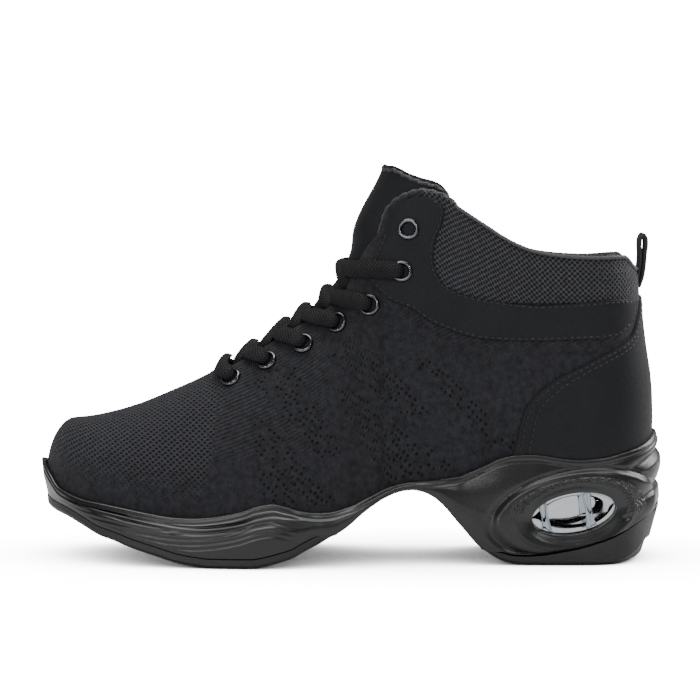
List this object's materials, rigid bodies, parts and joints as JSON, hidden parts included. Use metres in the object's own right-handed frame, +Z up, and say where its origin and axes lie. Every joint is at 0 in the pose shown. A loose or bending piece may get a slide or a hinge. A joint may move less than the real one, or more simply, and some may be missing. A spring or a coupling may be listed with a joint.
{
  "type": "dance sneaker",
  "caption": "High-top lace-up knit dance sneaker with a split-profile moulded sole, raised heel with a clear air window, padded collar, tongue and heel pull loop.",
  "frame": {"origin": "centre of the shoe's bounding box, on the floor that it stands on", "axes": "+Z up, +X towards the heel (the toe points to -X), +Y towards the inner (big toe) side; the outer side faces -Y"},
  "size_m": [0.2651, 0.0969, 0.1666],
  "materials": {
    "moulded_sole": "semi-gloss",
    "tread_rubber": "satin",
    "clear_cell": "clear plastic, glossy",
    "knit": "matt knit",
    "nubuck": "matt microfibre",
    "lining": "matt mesh",
    "lace": "woven polyester",
    "eyelet_metal": "dark gunmetal, glossy"
  },
  "bodies": {
    "root": {"midsole": "moulded_sole", "outsole_forefoot": "tread_rubber", "outsole_heel": "tread_rubber", "air_cell": "clear_cell", "upper": "knit", "heel_counter": "nubuck", "collar_band_outer": "nubuck", "collar_band_inner": "nubuck", "tongue": "nubuck", "insole": "lining", "pull_loop": "lace", "eyelet_outer_1": "eyelet_metal", "eyelet_outer_2": "eyelet_metal", "eyelet_outer_3": "eyelet_metal", "eyelet_outer_4": "eyelet_metal", "eyelet_outer_5": "eyelet_metal", "eyelet_outer_6": "eyelet_metal", "eyelet_outer_7": "eyelet_metal", "eyelet_inner_1": "eyelet_metal", "eyelet_inner_2": "eyelet_metal", "eyelet_inner_3": "eyelet_metal", "eyelet_inner_4": "eyelet_metal", "eyelet_inner_5": "eyelet_metal", "eyelet_inner_6": "eyelet_metal", "eyelet_inner_7": "eyelet_metal", "lace_bar_1": "lace", "lace_cross_2": "lace", "lace_cross_3": "lace", "lace_cross_4": "lace", "lace_cross_5": "lace", "lace_cross_6": "lace"}
  },
  "joints": []
}
